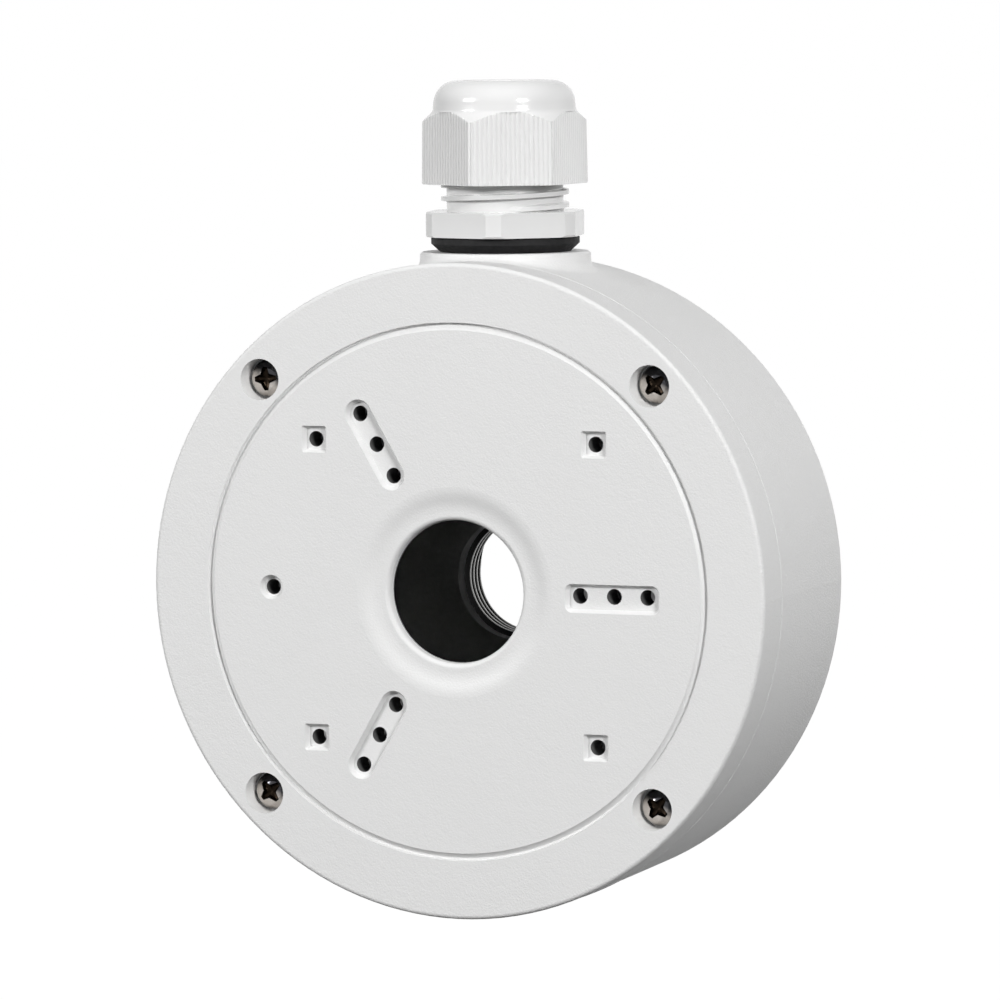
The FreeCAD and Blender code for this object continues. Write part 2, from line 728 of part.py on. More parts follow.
def gland_nut():
    body = hexagon(nut_flats, nut_hex_height, NUT_TAPER, NUT_TURN)
    body.translate(Vector(0, gland_y, nut_bottom))
    chamfer_start = nut_shoulder - NUT_CHAMFER_HEIGHT
    blank = upright(turned(
        (0, nut_bottom),
        (nut_corner_r - NUT_EDGE, nut_bottom),
        (nut_corner_r, nut_bottom + NUT_EDGE),
        (nut_corner_r - NUT_TAPER, chamfer_start),
        (nut_chamfer_r, nut_shoulder),
        (0, nut_shoulder),
    ))
    waist = nut_shoulder + DOME_WAIST
    shoulder = ((dome_waist_r - dome_top_r) * math.sqrt(0.5) + dome_top_r,
                (nut_top - waist) * math.sqrt(0.5) + waist)
    dome = upright(turned(
        (0, nut_shoulder - 1),
        (dome_foot_r, nut_shoulder - 1),
        (dome_foot_r, nut_shoulder),
        (dome_waist_r, waist),
        (*shoulder, dome_top_r, nut_top),
        (0, nut_top),
    ))
    hollow = upright(turned(
        (0, nut_bottom - 1),
        (nut_bore_r, nut_bottom - 1),
        (nut_bore_r, nut_bore_top),
        (cone_r, nut_bore_top),
        (cone_top_r, cone_top),
        (nut_hole_r, cone_top),
        (nut_hole_r, nut_top + 1),
        (0, nut_top + 1),
    ))
    nut = body.common(blank).fuse(dome).cut(hollow)
    lead = nut_ridge_root_width
    turns_up = math.ceil((nut_bottom + lead - neck_ridge_start()) / NECK_PITCH - 0.5)
    start_z = neck_ridge_start() + (turns_up + 0.5) * NECK_PITCH
    ridge_height = nut_bore_top - lead - start_z
    ridge = thread_ridge(neck_root_r + THREAD_GAP, nut_bore_r + RIDGE_BURIED, nut_ridge_crest_width,
                         nut_ridge_root_width, ridge_height, THREAD_START)
    ridge.translate(Vector(0, gland_y, start_z))
    return nut.fuse(ridge).removeSplitter()


# Export: one file for each piece

def all_pieces():
    pieces = {
        "rear_base": rear_base(),
        "front_cover": front_cover(),
        "cover_seal": cover_seal(),
        "gland_body": gland_body(),
        "gland_washer": gland_washer(),
        "gland_clamp": gland_clamp(),
        "gland_seal": gland_seal(),
        "gland_nut": gland_nut(),
    }
    pieces.update(cover_screws())
    pieces.update(earth_terminal())
    return pieces


for node, shape in all_pieces().items():
    shape.exportStep("parts/" + node + ".step")
    print(node, "valid", shape.isValid(), "solids", len(shape.Solids), "volume", round(shape.Volume, 1))
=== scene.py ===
import math

import bmesh
import bpy
from mathutils import Matrix, Vector


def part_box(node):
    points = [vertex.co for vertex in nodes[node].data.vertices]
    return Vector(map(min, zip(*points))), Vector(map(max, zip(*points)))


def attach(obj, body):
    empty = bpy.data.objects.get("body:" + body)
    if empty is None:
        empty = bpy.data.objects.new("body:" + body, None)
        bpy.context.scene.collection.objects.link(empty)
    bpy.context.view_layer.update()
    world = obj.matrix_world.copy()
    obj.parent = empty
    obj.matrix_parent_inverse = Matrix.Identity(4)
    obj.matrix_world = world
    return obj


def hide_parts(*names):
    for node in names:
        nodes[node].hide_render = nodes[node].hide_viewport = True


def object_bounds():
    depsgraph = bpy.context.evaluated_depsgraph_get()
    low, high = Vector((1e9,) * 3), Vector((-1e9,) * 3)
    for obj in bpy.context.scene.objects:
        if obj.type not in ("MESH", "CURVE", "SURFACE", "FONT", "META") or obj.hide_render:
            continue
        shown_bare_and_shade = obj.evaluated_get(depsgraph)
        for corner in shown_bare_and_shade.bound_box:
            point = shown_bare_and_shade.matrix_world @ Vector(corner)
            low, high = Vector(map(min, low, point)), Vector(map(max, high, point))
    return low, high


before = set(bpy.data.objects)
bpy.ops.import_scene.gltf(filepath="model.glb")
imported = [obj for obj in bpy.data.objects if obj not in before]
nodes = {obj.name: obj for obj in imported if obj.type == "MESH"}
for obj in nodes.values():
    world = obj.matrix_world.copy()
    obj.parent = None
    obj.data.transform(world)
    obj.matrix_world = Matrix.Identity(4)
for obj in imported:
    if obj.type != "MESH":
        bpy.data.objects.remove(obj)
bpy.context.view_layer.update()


# Rear base: a deep tray of die-cast aluminium that screws to the wall, with a flared boss on top
# for the cable gland. Outside it has a pale powder coat with a fine grain. Its inside is a bare
# casting that has gone dull and grey. Its thread has painted shade on the flanks and a painted
# highlight along the crest.

COAT_COLOUR = (0.800, 0.800, 0.797)
COAT_ROUGHNESS = 0.46
COAT_GRAIN = 2400.0
COAT_GRAIN_HEIGHT = 0.000065
COAT_PEEL = 420.0
COAT_PEEL_HEIGHT = 0.000035
COAT_TINT = 0.012
COAT_TINT_SCALE = 60.0
COAT_GLOSS_SCALE = 700.0
COAT_GLOSS_SPREAD = 0.05
COAT_SHEEN = 0.25
SIDE_R = 0.0674
SIDE_GRAIN_SHARE = 2.0
CASTING_COLOUR = (0.80, 0.80, 0.80)
CASTING_ROUGHNESS = 0.8
CASTING_TINT = 0.12
CASTING_GRAIN = 900.0
NOISE_LOW = 0.3
NOISE_HIGH = 0.7
TRAY_R = 0.0646
TRAY_FRONT = -0.0403
TRAY_FLOOR = -0.0091
ENTRY_BARE_R = 0.0135
ENTRY_BARE_END = -0.0063
MASK_EDGE = 0.0002


def new_material(name, colour, roughness, metallic=0.0):
    """Material with a plain shader, ready for its detail nodes."""
    material = bpy.data.materials.new(name)
    material.use_nodes = True
    shader = material.node_tree.nodes["Principled BSDF"]
    shader.inputs["Base Color"].default_value = (*colour, 1)
    shader.inputs["Roughness"].default_value = roughness
    shader.inputs["Metallic"].default_value = metallic
    return material, material.node_tree, shader


def noise(tree, scale, detail=2.0, roughness=0.5):
    """Noise over the object's own coordinates, in features per metre."""
    place = tree.nodes.new("ShaderNodeTexCoord")
    node = tree.nodes.new("ShaderNodeTexNoise")
    node.inputs["Scale"].default_value = scale
    node.inputs["Detail"].default_value = detail
    node.inputs["Roughness"].default_value = roughness
    tree.links.new(place.outputs["Object"], node.inputs["Vector"])
    return node.outputs["Fac"]


def bump(tree, height, distance, before=None):
    """Bump of a height texture, on top of an earlier bump where there is one."""
    node = tree.nodes.new("ShaderNodeBump")
    node.inputs["Strength"].default_value = 1.0
    node.inputs["Distance"].default_value = distance
    tree.links.new(height, node.inputs["Height"])
    if before is not None:
        tree.links.new(before, node.inputs["Normal"])
    return node.outputs["Normal"]


def ramp(tree, value, low, high, start, end):
    """Value that runs from low at start to high at end, and stays there beyond both."""
    node = tree.nodes.new("ShaderNodeMapRange")
    node.inputs["From Min"].default_value = start
    node.inputs["From Max"].default_value = end
    node.inputs["To Min"].default_value = low
    node.inputs["To Max"].default_value = high
    tree.links.new(value, node.inputs["Value"])
    return node.outputs["Result"]


def drifting(tree, low, high, scale, detail=2.0):
    """Value that drifts between two levels, in features per metre."""
    return ramp(tree, noise(tree, scale, detail), low, high, NOISE_LOW, NOISE_HIGH)


def combine(tree, operation, first, second):
    """Math node over two sockets, or over a socket and a number."""
    node = tree.nodes.new("ShaderNodeMath")
    node.operation = operation
    for socket, value in zip(node.inputs, (first, second)):
        if isinstance(value, (int, float)):
            socket.default_value = value
        else:
            tree.links.new(value, socket)
    return node.outputs[0]


def drum_position(tree):
    """Distance from the drum's axis and depth along it, as two sockets."""
    place = tree.nodes.new("ShaderNodeTexCoord")
    parts = tree.nodes.new("ShaderNodeSeparateXYZ")
    tree.links.new(place.outputs["Object"], parts.inputs[0])
    x_squared = combine(tree, "MULTIPLY", parts.outputs["X"], parts.outputs["X"])
    z_squared = combine(tree, "MULTIPLY", parts.outputs["Z"], parts.outputs["Z"])
    radius = combine(tree, "SQRT", combine(tree, "ADD", x_squared, z_squared), 0.0)
    return radius, parts.outputs["Y"]


def blended(tree, share, first, second, kind="RGBA"):
    """Mix of two colours or two floats, each a socket or a plain value."""
    mix = tree.nodes.new("ShaderNodeMix")
    mix.data_type = kind
    sockets = [socket for socket in mix.inputs if socket.enabled]
    for socket, value in zip(sockets, (share, first, second)):
        if isinstance(value, bpy.types.NodeSocket):
            tree.links.new(value, socket)
        else:
            socket.default_value = value
    return next(socket for socket in mix.outputs if socket.enabled)


def tinted(tree, colour, amount, value):
    """Colour that drifts a little lighter and darker with a value around one half."""
    darker = (*[part * (1 - amount) for part in colour], 1)
    lighter = (*[part * (1 + amount) for part in colour], 1)
    return blended(tree, value, darker, lighter)


def powder_coat(name, bare_and_shade, bare_and_shade_colour):
    """Coat over a casting, grainier on the drum's side than on its face.

    The mask argument makes a socket that is 1 where the casting shows, in the given colour; on the base that
    is the casting's own grey, on the cover a near-black painted shade.
    """
    material, tree, shader = new_material(name, COAT_COLOUR, COAT_ROUGHNESS)
    shader.inputs["Specular IOR Level"].default_value = COAT_SHEEN
    shown_bare_and_shade = bare_and_shade(tree)
    coat = tinted(tree, COAT_COLOUR, COAT_TINT, noise(tree, COAT_TINT_SCALE, 3.0))
    casting_and_shade = tinted(tree, bare_and_shade_colour, CASTING_TINT, noise(tree, CASTING_GRAIN, 4.0, 0.7))
    tree.links.new(blended(tree, shown_bare_and_shade, coat, casting_and_shade), shader.inputs["Base Color"])
    gloss = drifting(tree, COAT_ROUGHNESS - COAT_GLOSS_SPREAD, COAT_ROUGHNESS + COAT_GLOSS_SPREAD,
                     COAT_GLOSS_SCALE)
    tree.links.new(blended(tree, shown_bare_and_shade, gloss, CASTING_ROUGHNESS, "FLOAT"), shader.inputs["Roughness"])
    radius = drum_position(tree)[0]
    rougher = ramp(tree, radius, 1, SIDE_GRAIN_SHARE, SIDE_R - MASK_EDGE, SIDE_R + MASK_EDGE)
    grains = combine(tree, "SUBTRACT", noise(tree, COAT_GRAIN, 2.0, 0.6), 0.5)
    peel = bump(tree, noise(tree, COAT_PEEL, 1.0), COAT_PEEL_HEIGHT)
    grain = bump(tree, combine(tree, "MULTIPLY", grains, rougher), COAT_GRAIN_HEIGHT, peel)
    tree.links.new(grain, shader.inputs["Normal"])
    return material


def base_bare(tree):
    """1 inside the base's tray and in the rear entry, 0 outside."""
    radius, depth = drum_position(tree)
    within = ramp(tree, radius, 1, 0, TRAY_R, TRAY_R + MASK_EDGE)
    above_floor = ramp(tree, depth, 1, 0, TRAY_FLOOR, TRAY_FLOOR + MASK_EDGE)
    behind_rim = ramp(tree, depth, 0, 1, TRAY_FRONT, TRAY_FRONT + MASK_EDGE)
    tray = combine(tree, "MULTIPLY", combine(tree, "MULTIPLY", within, above_floor), behind_rim)
    entry = combine(tree, "MULTIPLY", ramp(tree, radius, 1, 0, ENTRY_BARE_R, ENTRY_BARE_R + MASK_EDGE),
                    ramp(tree, depth, 1, 0, ENTRY_BARE_END, ENTRY_BARE_END + MASK_EDGE))
    return combine(tree, "MAXIMUM", tray, entry)


def dress(node, material):
    """Gives a CAD node its material."""
    nodes[node].data.materials.clear()
    nodes[node].data.materials.append(material)


dress("rear_base", powder_coat("base_coat", base_bare, CASTING_COLOUR))


# Rear entry thread: the pipe thread cut into the boss of the back wall, for a fitting or a cable
# from the wall. It is a bare aluminium ridge that winds through the hole.

ENTRY_MAJOR_R = 0.01325
ENTRY_MINOR_R = 0.01206
ENTRY_PITCH = 0.001814
ENTRY_THREAD_FRONT = -0.0136
ENTRY_BACK = -0.0061
ENTRY_ROOT_SHARE = 0.94
ENTRY_CREST_SHARE = 0.16
THREAD_STEPS = 72
THREAD_RUNOUT = 8
# The thread's bright crest tone is a painted highlight and its near-black flank tone is painted shade.
THREAD_PAINTED_HIGHLIGHT = (0.55, 0.55, 0.54)
THREAD_PAINTED_SHADE = (0.03, 0.03, 0.03)
HIGHLIGHT_CREST_WIDTH = 0.0002
ENTRY_ROUGHNESS = 0.4
MOTTLE_TINT = 0.12
MOTTLE_SCALE = 2500.0
MARK_SCALE = 6000.0
MARK_HEIGHT = 0.000003


def helix_ridge(mesh, place, root_r, crest_r, root_width, crest_width, pitch, low, high, start=0.0):
    """Thread ridge from low to high along an axis, tapering to nothing at both of its ends.

    place turns a radius, an angle and a height into a point, and start is the angle at low.
    """
    turns = (high - low) / pitch
    count = int(turns * THREAD_STEPS)
    rings = []
    for step in range(count + 1):
        angle = start + 2 * math.pi * turns * step / count
        height = low + (high - low) * step / count
        grown = min(1.0, step / THREAD_RUNOUT, (count - step) / THREAD_RUNOUT)
        tip_r = root_r + (crest_r - root_r) * grown
        outline = ((root_r, -root_width / 2), (tip_r, -crest_width / 2), (tip_r, crest_width / 2),
                   (root_r, root_width / 2))
        rings.append([mesh.verts.new(place(radius, angle, height + along)) for radius, along in outline])
    for before, after in zip(rings, rings[1:]):
        for corner in range(4):
            beyond = (corner + 1) % 4
            mesh.faces.new((before[corner], before[beyond], after[beyond], after[corner]))
    mesh.faces.new(rings[0])
    mesh.faces.new(tuple(reversed(rings[-1])))


def finished(name, mesh, material, body, smooth_angle=35.0):
    """Object made of a built mesh, which rides on a body."""
    bmesh.ops.recalc_face_normals(mesh, faces=mesh.faces)
    data = bpy.data.meshes.new(name)
    mesh.to_mesh(data)
    mesh.free()
    data.materials.append(material)
    data.shade_smooth()
    data.set_sharp_from_angle(angle=math.radians(smooth_angle))
    piece = bpy.data.objects.new(name, data)
    bpy.context.scene.collection.objects.link(piece)
    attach(piece, body)
    return piece


def round_drum(radius, angle, depth):
    """Point about the drum's axis, so that a ridge which goes deeper as it turns is right-handed."""
    return Vector((radius * math.cos(angle), depth, -radius * math.sin(angle)))


def mottled(tree, colour):
    """Colour of a bare metal, which varies a little from spot to spot."""
    return tinted(tree, colour, MOTTLE_TINT, noise(tree, MOTTLE_SCALE, 3.0, 0.6))


def tool_marks(tree):
    """Fine marks of cutting and polishing, as a bump."""
    return bump(tree, noise(tree, MARK_SCALE), MARK_HEIGHT)


def thread_painted_light():
    """Aluminium with painted shade on the flanks and a painted highlight along the crest."""
    material, tree, shader = new_material("entry_painted_light", THREAD_PAINTED_HIGHLIGHT, ENTRY_ROUGHNESS, 1.0)
    radius = drum_position(tree)[0]
    # Painted highlight along the crest, painted shade on the flanks.
    highlight_crest = ramp(tree, radius, 1, 0, ENTRY_MINOR_R + HIGHLIGHT_CREST_WIDTH / 2, ENTRY_MINOR_R + HIGHLIGHT_CREST_WIDTH)
    highlight = mottled(tree, THREAD_PAINTED_HIGHLIGHT)
    tree.links.new(blended(tree, highlight_crest, (*THREAD_PAINTED_SHADE, 1), highlight), shader.inputs["Base Color"])
    tree.links.new(tool_marks(tree), shader.inputs["Normal"])
    return material


def entry_thread():
    mesh = bmesh.new()
    helix_ridge(mesh, round_drum, ENTRY_MAJOR_R, ENTRY_MINOR_R, ENTRY_PITCH * ENTRY_ROOT_SHARE,
                ENTRY_PITCH * ENTRY_CREST_SHARE, ENTRY_PITCH, ENTRY_THREAD_FRONT,
                ENTRY_BACK - ENTRY_PITCH / 2)
    finished("entry_thread", mesh, thread_painted_light(), "box")


entry_thread()


# Front cover: a cast plate with a deep rim and pockets for the camera's screws. Its outside has the
# same coat as the base, which is built up into a thin bead along the parting. Its inside and the
# tapped holes are bare, and coloured near black as painted shade.

COVER_BACK_R = 0.068425
COVER_SKIN_BACK = -0.0480
COVER_HOLLOW_R = 0.0665
# The cover's inside and tapped holes take this near-black tone as painted shade.
COVER_INSIDE_SHADE = (0.11, 0.11, 0.11)
TAPPED_FRONT = -0.05015
TAPPED_INNER_R = 0.0175
TAPPED_OUTER_R = 0.0500
SCREW_SPREAD = 0.04366
SCREW_WELL_R = 0.0046
SCREW_SEAT = -0.0462
PARTING = -0.0405
BEAD_R = 0.00014
BEAD_SUNK_SHARE = 0.5
BEAD_SIDES = 8
BEAD_STEPS = 360


def screw_wells(tree):
    """1 in the four wells of the cover's screws, down to the seats of their heads."""
    place = tree.nodes.new("ShaderNodeTexCoord")
    parts = tree.nodes.new("ShaderNodeSeparateXYZ")
    tree.links.new(place.outputs["Object"], parts.inputs[0])
    aside = []
    for axis in ("X", "Z"):
        off = combine(tree, "SUBTRACT", combine(tree, "ABSOLUTE", parts.outputs[axis], 0.0), SCREW_SPREAD)
        aside.append(combine(tree, "MULTIPLY", off, off))
    away = combine(tree, "SQRT", combine(tree, "ADD", *aside), 0.0)
    near = ramp(tree, away, 1, 0, SCREW_WELL_R, SCREW_WELL_R + MASK_EDGE)
    in_front = ramp(tree, parts.outputs["Y"], 1, 0, SCREW_SEAT + MASK_EDGE, SCREW_SEAT + 2 * MASK_EDGE)
    return combine(tree, "MULTIPLY", near, in_front)


def cover_bare_and_shade(tree):
    """1 behind the cover's front skin and in the tapped holes, where the painted shade goes, 0 on all that
    faces outwards.
    """
    radius, depth = drum_position(tree)
    within = ramp(tree, radius, 1, 0, COVER_HOLLOW_R, COVER_HOLLOW_R + MASK_EDGE)
    behind = ramp(tree, depth, 0, 1, COVER_SKIN_BACK - 2 * MASK_EDGE, COVER_SKIN_BACK - MASK_EDGE)
    hollow = combine(tree, "MULTIPLY", within, behind)
    outside = ramp(tree, radius, 0, 1, TAPPED_INNER_R, TAPPED_INNER_R + MASK_EDGE)
    inside = ramp(tree, radius, 1, 0, TAPPED_OUTER_R, TAPPED_OUTER_R + MASK_EDGE)
    below = ramp(tree, depth, 0, 1, TAPPED_FRONT, TAPPED_FRONT + MASK_EDGE / 2)
    tapped = combine(tree, "MULTIPLY", combine(tree, "MULTIPLY", outside, inside), below)
    bare_and_shade = combine(tree, "MAXIMUM", hollow, tapped)
    return combine(tree, "MULTIPLY", bare_and_shade, combine(tree, "SUBTRACT", 1.0, screw_wells(tree)))


def ring_surface(mesh, rings, closed=True):
    """Faces between rings of equally many points, each ring closed on itself."""
    following = rings[1:] + rings[:1] if closed else rings[1:]
    for before, after in zip(rings, following):
        count = len(before)
        for step in range(count):
            beyond = (step + 1) % count
            mesh.faces.new((before[step], before[beyond], after[beyond], after[step]))


def parting_bead():
    """Ring of built-up coat along the cover's back edge."""
    mesh = bmesh.new()
    middle_r = COVER_BACK_R - BEAD_R * BEAD_SUNK_SHARE
    middle_depth = PARTING - BEAD_R
    rings = []
    for step in range(BEAD_STEPS):
        angle = 2 * math.pi * step / BEAD_STEPS
        ring = []
        for side in range(BEAD_SIDES):
            turn = 2 * math.pi * side / BEAD_SIDES
            radius = middle_r + BEAD_R * math.cos(turn)
            ring.append(mesh.verts.new(round_drum(radius, angle, middle_depth + BEAD_R * math.sin(turn))))
        rings.append(ring)
    ring_surface(mesh, rings)
    finished("parting_bead", mesh, cover_coat, "box", smooth_angle=180.0)


cover_coat = powder_coat("cover_coat", cover_bare_and_shade, COVER_INSIDE_SHADE)
dress("front_cover", cover_coat)
parting_bead()


# Cover seal: a black rubber cord in the cover's slot, which bears on the base's rim. The gland's
# washer and cable sleeve are of the same kind of rubber.

RUBBER_COLOUR = (0.014, 0.014, 0.0145)
RUBBER_ROUGHNESS = 0.62
RUBBER_SHEEN = 0.16
RUBBER_TINT = 0.3
RUBBER_TINT_SCALE = 500.0
RUBBER_GLOSS_SCALE = 900.0
RUBBER_DUSTING = 0.12
RUBBER_POLISH = 0.1
RUBBER_GRAIN = 2600.0
RUBBER_GRAIN_HEIGHT = 0.00002


def rubber(name):
    material, tree, shader = new_material(name, RUBBER_COLOUR, RUBBER_ROUGHNESS)
    shader.inputs["Specular IOR Level"].default_value = RUBBER_SHEEN
    patches = noise(tree, RUBBER_TINT_SCALE, 4.0, 0.6)
    tree.links.new(tinted(tree, RUBBER_COLOUR, RUBBER_TINT, patches), shader.inputs["Base Color"])
    gloss = drifting(tree, RUBBER_ROUGHNESS - RUBBER_POLISH, RUBBER_ROUGHNESS + RUBBER_DUSTING,
                     RUBBER_GLOSS_SCALE, 3.0)
    tree.links.new(gloss, shader.inputs["Roughness"])
    tree.links.new(bump(tree, noise(tree, RUBBER_GRAIN), RUBBER_GRAIN_HEIGHT), shader.inputs["Normal"])
    return material


for rubber_node in ("cover_seal", "gland_washer", "gland_seal"):
    dress(rubber_node, rubber(rubber_node + "_rubber"))


# Cable gland: a moulded nylon fitting screwed into the boss. Its body has a hexagonal collar and a
# threaded neck, and a clamp with a crown of fingers stands in it. The nylon is white and glossy.

# The body and clamp are the nut's nylon made darker, as painted shade.
BODY_SHADED_NYLON = (0.725, 0.725, 0.723)
NYLON_ROUGHNESS = 0.13
NYLON_TINT = 0.01
NYLON_TINT_SCALE = 90.0
NYLON_GLOSS_SCALE = 300.0
NYLON_POLISH = 0.03
NYLON_DULLING = 0.04
NYLON_WAVES = 700.0
NYLON_WAVE_HEIGHT = 0.000002
GLAND_Y = -0.0212
NECK_ROOT_R = 0.01235
NECK_CREST_R = 0.01352
NECK_RIDGE_ROOT = 0.00143
NECK_RIDGE_CREST = 0.00086
NECK_PITCH = 0.00275
NECK_RIDGE_LOW = 0.0791
NECK_RIDGE_START = -24.3
RUNOUT_TURN = 40


def nylon(name, colour):
    material, tree, shader = new_material(name, colour, NYLON_ROUGHNESS)
    tree.links.new(tinted(tree, colour, NYLON_TINT, noise(tree, NYLON_TINT_SCALE, 3.0)),
                   shader.inputs["Base Color"])
    gloss = drifting(tree, NYLON_ROUGHNESS - NYLON_POLISH, NYLON_ROUGHNESS + NYLON_DULLING,
                     NYLON_GLOSS_SCALE)
    tree.links.new(gloss, shader.inputs["Roughness"])
    tree.links.new(bump(tree, noise(tree, NYLON_WAVES, 1.0), NYLON_WAVE_HEIGHT), shader.inputs["Normal"])
    return material


def round_gland(radius, angle, height):
    """Point about the gland's upright axis."""
    return Vector((radius * math.cos(angle), GLAND_Y + radius * math.sin(angle), height))


def neck_runout():
    """The neck's thread ridge fading out of the neck before its first turn."""
    mesh = bmesh.new()
    lead = math.radians(RUNOUT_TURN)
    rise = NECK_PITCH * RUNOUT_TURN / 360
    helix_ridge(mesh, round_gland, NECK_ROOT_R, NECK_CREST_R, NECK_RIDGE_ROOT, NECK_RIDGE_CREST, NECK_PITCH,
                NECK_RIDGE_LOW - rise, NECK_RIDGE_LOW + rise, math.radians(NECK_RIDGE_START) - lead)
    finished("neck_runout", mesh, nylon("runout_nylon", BODY_SHADED_NYLON), "box", smooth_angle=40.0)


neck_runout()
for nylon_node in ("gland_body", "gland_clamp"):
    dress(nylon_node, nylon(nylon_node + "_nylon", BODY_SHADED_NYLON))


# Gland nut: the domed hexagonal cap that closes the gland on its cable, in the same white nylon.
# Fine upright ribs for grip cover its flats and run out in scallops on the bevel under the dome.

NUT_COLOUR = (0.80, 0.80, 0.798)
NUT_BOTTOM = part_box("gland_nut")[0].z
NUT_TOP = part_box("gland_nut")[1].z
NUT_HALF_FLATS = 0.0154
NUT_TAPER = 0.0002
NUT_CORNER_R = 0.01755
NUT_SHOULDER = NUT_TOP - 0.0065
NUT_FACE_TURN = 27.2
RIBS_ON_A_FACE = 18
RIB_DEPTH = 0.00036
POINTS_ON_A_RIB = 8
BEVEL_HEIGHT = 0.00205
BEVEL_TOP_R = 0.0152
BEVEL_STEPS = 14
FOOT_EDGE = 0.0002
SHOULDER_BLEND = 0.0005
SHOULDER_STEPS = 6
DOME_WAIST_R = 0.0150
DOME_WAIST = 0.0016
DOME_TOP_R = 0.0101
DOME_STEPS = 14
NUT_HOLE_R = 0.0087
NUT_HOLE_EDGE = 0.0006
NUT_HOLE_STEPS = 4
NUT_HOLE_DEPTH = 0.0026
NUT_CONE_TOP_R = 0.0092
NUT_CONE_R = 0.0120
NUT_BORE_R = 0.01385
NUT_BORE_TOP = NUT_BOTTOM + 0.0125
NUT_RIDGE_R = 0.01265
NUT_RIDGE_ROOT = 0.00125
NUT_RIDGE_CREST = 0.0007
NUT_RIDGE_LOW = NUT_BOTTOM + 0.002075
NUT_RIDGE_HIGH = NUT_BORE_TOP - 0.00125


def ribbed_outline():
    """Points round the nut's hexagon: the angle, the place along the flat and the rib's share."""
    points = []
    half = NUT_HALF_FLATS * math.tan(math.radians(30))
    count = RIBS_ON_A_FACE * POINTS_ON_A_RIB
    for face in range(6):
        middle = math.radians(NUT_FACE_TURN - 90 + 60 * face)
        for step in range(count):
            along = -half + 2 * half * (step + 0.5) / count
            phase = (step + 0.5) / POINTS_ON_A_RIB % 1
            share = math.sqrt(1 - (2 * phase - 1) ** 2)
            points.append((middle + math.atan2(along, NUT_HALF_FLATS), along, share))
    return points


def ribbed_ring(mesh, points, height, cap):
    """Ring of the ribbed hexagon at a height, no further out than a cap."""
    taper = NUT_TAPER * (height - NUT_BOTTOM) / (NUT_SHOULDER - NUT_BOTTOM)
    ring = []
    for angle, along, share in points:
        groove = RIB_DEPTH * (1 - share)
        radius = min(math.hypot(NUT_HALF_FLATS - taper - groove, along), NUT_CORNER_R - taper - groove, cap)
        ring.append(mesh.verts.new(round_gland(radius, angle, height)))
    return ring


def plain_ring(mesh, points, height, radius):
    """Round ring at a height, with a point for each point of the ribbed outline."""
    return [mesh.verts.new(round_gland(radius, angle, height)) for angle, along, share in points]


def nut_rings(mesh):
    """All rings of the nut, from the foot up its outside, over the dome and down its inside."""
    points = ribbed_outline()
    rings = []
    for share in (0.0, 0.5, 1.0):
        cap = NUT_CORNER_R - FOOT_EDGE * (1 - share) ** 2
        rings.append(ribbed_ring(mesh, points, NUT_BOTTOM + FOOT_EDGE * share, cap))
    slope = (NUT_CORNER_R - NUT_TAPER - BEVEL_TOP_R) / BEVEL_HEIGHT
    for step in range(BEVEL_STEPS + 1):
        below = BEVEL_HEIGHT + (SHOULDER_BLEND - BEVEL_HEIGHT) * step / BEVEL_STEPS
        rings.append(ribbed_ring(mesh, points, NUT_SHOULDER - below, BEVEL_TOP_R + slope * below))
    waist = NUT_SHOULDER + DOME_WAIST
    lean = (BEVEL_TOP_R - DOME_WAIST_R) / DOME_WAIST
    for step in range(1, SHOULDER_STEPS + 1):
        share = step / SHOULDER_STEPS
        bevel_part = (1 - share) ** 2 * slope * SHOULDER_BLEND
        waist_part = share ** 2 * lean * SHOULDER_BLEND
        height = NUT_SHOULDER + SHOULDER_BLEND * (share ** 2 - (1 - share) ** 2)
        shape = ribbed_ring if height < NUT_SHOULDER else plain_ring
        rings.append(shape(mesh, points, height, BEVEL_TOP_R + bevel_part - waist_part))
    for share in (0.4, 0.9):
        rings.append(plain_ring(mesh, points, NUT_SHOULDER + DOME_WAIST * share,
                                BEVEL_TOP_R - lean * DOME_WAIST * share))
    for step in range(DOME_STEPS + 1):
        turn = math.pi / 2 * step / DOME_STEPS
        radius = DOME_TOP_R + (DOME_WAIST_R - DOME_TOP_R) * math.cos(turn)
        rings.append(plain_ring(mesh, points, waist + (NUT_TOP - waist) * math.sin(turn), radius))
    for step in range(NUT_HOLE_STEPS + 1):
        turn = math.pi / 2 * step / NUT_HOLE_STEPS
        radius = NUT_HOLE_R + NUT_HOLE_EDGE * (1 - math.sin(turn))
        rings.append(plain_ring(mesh, points, NUT_TOP - NUT_HOLE_EDGE * (1 - math.cos(turn)), radius))
    inside = ((NUT_TOP - NUT_HOLE_DEPTH, NUT_HOLE_R), (NUT_TOP - NUT_HOLE_DEPTH, NUT_CONE_TOP_R),
              (NUT_BORE_TOP, NUT_CONE_R), (NUT_BORE_TOP, NUT_BORE_R), (NUT_BOTTOM, NUT_BORE_R))
    for height, radius in inside:
        rings.append(plain_ring(mesh, points, height, radius))
    return rings


def gland_nut():
    mesh = bmesh.new()
    ring_surface(mesh, nut_rings(mesh))
    helix_ridge(mesh, round_gland, NUT_BORE_R, NUT_RIDGE_R, NUT_RIDGE_ROOT, NUT_RIDGE_CREST, NECK_PITCH,
                NUT_RIDGE_LOW, NUT_RIDGE_HIGH, math.radians(NECK_RIDGE_START))
    piece = finished("gland_nut_ribbed", mesh, nylon("nut_nylon", NUT_COLOUR), "nut",
                     smooth_angle=30.0)
    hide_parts("gland_nut")


gland_nut()


# Screws: four pan head screws hold the cover, and a fifth with its washers is the earth terminal
# inside. They are polished steel. The four have a domed head with a flared cross recess and a
# threaded shank. Their recess and rim are painted near black as painted shade, and their domes
# are painted light below and dark on the slopes that face up and right, as painted reflection.

